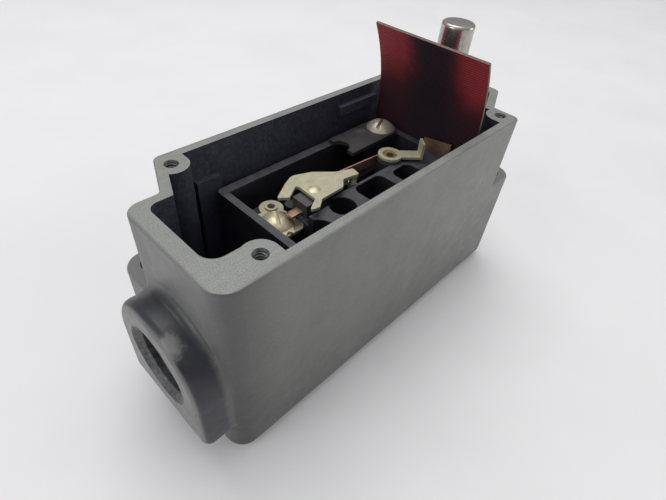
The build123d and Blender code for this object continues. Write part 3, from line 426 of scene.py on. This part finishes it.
bronze = metal("bronze", (0.22, 0.14, 0.09), (0.40, 0.27, 0.18), 0.4, 0.6, (1, 1, 1), (0.12, 0.08, 0.06), 0.6)
brass = metal("brass", (0.50, 0.40, 0.20), (0.72, 0.60, 0.34), 0.28, 0.45, (1, 1, 1), (0.28, 0.2, 0.1))
base_black = moulded(
    "base_black", (0.010, 0.010, 0.016), (0.022, 0.022, 0.030), (0.105, 0.102, 0.108), top=55.4,
)
block_grey = moulded(
    "block_grey", (0.030, 0.030, 0.034), (0.055, 0.055, 0.058), (0.12, 0.12, 0.115), top=56.8,
)
bar_brown = moulded("bar_brown", (0.030, 0.022, 0.018), (0.060, 0.045, 0.036), (0.13, 0.11, 0.10))
strap_black = lacquer("strap_black", (0.040, 0.036, 0.035), (0.16, 0.14, 0.12), 0.4)

WEARS = {
    "shaft_bushing": bronze,
    "lever_shaft": ground,
    "thrust_washer": steel,
    "retaining_ring": spring,
    "crank": steel,
    "crank_cross_pin": ground,
    "roller_pin": ground,
    "crank_roller": ground,
    "shaft_return_spring": spring,
    "switch_base": base_black,
    "base_screws": screw,
    "hold_down_strap": strap_black,
    "push_bar": bar_brown,
    "rocker_post": brass,
    "contact_rocker": block_grey,
    "contact_arm": stamped,
    "arm_rivet": bright,
    "rocker_spring": spring,
    "moving_contacts": silver,
    "closed_contact": silver,
    "contact_leaf": copper,
    "open_contact": silver,
    "near_terminal": stamped,
    "terminal_clamp": bright,
    "moving_finger": copper,
    "far_leaf": bronze,
    "terminal_screw": bright,
    "ring_terminal": stamped,
    "ring_stud": brass,
}
for node, look in WEARS.items():
    dress(node, look)

# the crimson given here is the painted lit colour where light shines through the liner
dress("insulating_liner", fibre("liner_fibre", (0.36, 0.030, 0.036)), cut_edge())
liner = nodes["insulating_liner"].data
for polygon in liner.polygons:
    edge_on = abs(polygon.normal.y) > 0.7 or (polygon.normal.z > 0.7 and polygon.center.z > 0.0885)
    polygon.material_index = 1 if edge_on else 0


# ---------------------------------------------------------------- threads
def thread(name, centre, axis, bore, depth, pitch, start, stop, look, body):
    """A helical ridge on the wall of a bore, from start to stop along its axis."""
    steps_per_turn = 40
    turns = (stop - start) / pitch
    count = int(turns * steps_per_turn)
    turn_to = Vector((0, 0, 1)).rotation_difference(Vector(axis)).to_matrix()
    mesh = bpy.data.meshes.new(name)
    shape = bmesh.new()
    # corners of the ridge's section: millimetres behind the bore's wall, minus being inside the bore,
    # and how far along the axis, in pitches
    profile = ((0.25, -0.46), (-0.04, -0.30), (-depth, -0.06), (-depth, 0.06), (-0.04, 0.30), (0.25, 0.46))
    rows = []
    for i in range(count + 1):
        angle = 2 * math.pi * i / steps_per_turn
        along = start + pitch * i / steps_per_turn
        fade = min(1.0, i / steps_per_turn * 2, (count - i) / steps_per_turn * 2)
        row = []
        for out, shift in profile:
            radius = bore + (out * fade if out < 0 else out)
            point = Vector((radius * math.cos(angle), radius * math.sin(angle), along + shift * pitch))
            row.append(shape.verts.new((Vector(centre) + turn_to @ point) * MM))
        rows.append(row)
    for first, second in zip(rows, rows[1:]):
        for j in range(len(first) - 1):
            shape.faces.new((first[j], first[j + 1], second[j + 1], second[j]))
    shape.normal_update()
    shape.to_mesh(mesh)
    shape.free()
    made = bpy.data.objects.new(name, mesh)
    bpy.context.scene.collection.objects.link(made)
    for polygon in mesh.polygons:
        polygon.use_smooth = True
    mesh.materials.append(look)
    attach(made, body)
    return made


thread_metal = bare_iron("thread_metal", (0.14, 0.14, 0.14), (0.42, 0.42, 0.40), 0.25, 0.45)
conduit_metal = bare_iron("conduit_thread_metal", (0.035, 0.035, 0.040), (0.13, 0.13, 0.13), 0.3, 0.5)
thread(
    "conduit_thread", (-CAVITY_X, HUB_Y, HUB_Z), (-1, 0, 0), bore=CONDUIT_R, depth=0.75, pitch=1.81,
    start=0.9, stop=10.2, look=conduit_metal, body="housing",
)
for index, (x, y) in enumerate(COVER_SCREWS):
    thread(
        f"cover_thread_{index}", (x, y, COVER_TAP_BOTTOM), (0, 0, 1), bore=COVER_TAP_R, depth=0.28, pitch=0.79,
        start=1.0, stop=13.2, look=thread_metal, body="housing",
    )

# ---------------------------------------------------------------- smooth shading
for obj in nodes.values():
    for polygon in obj.data.polygons:
        polygon.use_smooth = True
    bpy.context.view_layer.objects.active = obj
    if not obj.data.has_custom_normals:
        edge_split = obj.modifiers.new("crisp_edges", "EDGE_SPLIT")
        edge_split.split_angle = math.radians(32)


# ---------------------------------------------------------------- studio
def paper():
    look = Look("paper_floor")
    base = look.ramp(look.noise(60, 4, 0.5), (0.3, (0.88, 0.865, 0.86)), (0.7, (0.92, 0.91, 0.905)))
    look.bump(look.noise(1.2, 3, 0.5), 0.05, 0.05)
    return look.finish(base, look.ramp(look.noise(20, 3, 0.5), (0.3, 0.7), (0.7, 0.85)))


floor_mesh = bpy.data.meshes.new("floor")
floor_shape = bmesh.new()
bmesh.ops.create_grid(floor_shape, x_segments=8, y_segments=8, size=4.0)
floor_shape.to_mesh(floor_mesh)
floor_shape.free()
floor = bpy.data.objects.new("floor", floor_mesh)
floor.location = (0, 0, -0.0002)
floor_mesh.materials.append(paper())
bpy.context.scene.collection.objects.link(floor)

world = bpy.data.worlds.new("studio")
world.use_nodes = True
bpy.context.scene.world = world
background = world.node_tree.nodes["Background"]
direction = world.node_tree.nodes.new("ShaderNodeTexCoord")
height = world.node_tree.nodes.new("ShaderNodeSeparateXYZ")
sky = world.node_tree.nodes.new("ShaderNodeValToRGB")
sky.color_ramp.elements[0].position = 0.0
sky.color_ramp.elements[0].color = (0.34, 0.34, 0.36, 1)
sky.color_ramp.elements[1].position = 0.75
sky.color_ramp.elements[1].color = (0.95, 0.96, 1.0, 1)
world.node_tree.links.new(direction.outputs["Generated"], height.inputs[0])
world.node_tree.links.new(height.outputs[2], sky.inputs["Fac"])
world.node_tree.links.new(sky.outputs["Color"], background.inputs["Color"])
background.inputs["Strength"].default_value = 0.58


def soft_box(name, place, aim, size, power, tint=(1, 1, 1)):
    """A square area light pointed at a spot, all in metres."""
    data = bpy.data.lights.new(name, "AREA")
    data.shape = "SQUARE"
    data.size = size
    data.energy = power
    data.color = tint
    made = bpy.data.objects.new(name, data)
    made.location = place
    made.rotation_mode = "QUATERNION"
    made.rotation_quaternion = (Vector(aim) - Vector(place)).to_track_quat("-Z", "Y")
    bpy.context.scene.collection.objects.link(made)


soft_box("top_box", (0.1, 0.25, 0.9), (0, 0, 0.03), 0.7, 3.6)
soft_box("left_box", (-0.9, 0.15, 0.35), (0, 0, 0.04), 0.5, 1.9, (0.96, 0.98, 1.0))
soft_box("right_box", (0.85, -0.75, 0.3), (0.03, 0, 0.04), 0.45, 2.3, (1.0, 0.99, 0.97))

# ---------------------------------------------------------------- camera
camera_data = bpy.data.cameras.new("camera")
camera_data.sensor_fit = "HORIZONTAL"
camera_data.sensor_width = 36.0
camera_data.lens = 24.463
camera_data.clip_start = 0.005
camera_data.clip_end = 50.0
camera = bpy.data.objects.new("camera", camera_data)
right = Vector((0.69875, -0.71119, 0.07714))
up = Vector((0.45055, 0.52129, 0.72475))
back = Vector((-0.55565, -0.47167, 0.68468))
spot = Vector((-0.0926, -0.0740, 0.1339))
camera.matrix_world = Matrix.Translation(spot) @ Matrix((right, up, back)).transposed().to_4x4()
bpy.context.scene.collection.objects.link(camera)
bpy.context.scene.camera = camera
bpy.context.scene.view_settings.view_transform = "Standard"
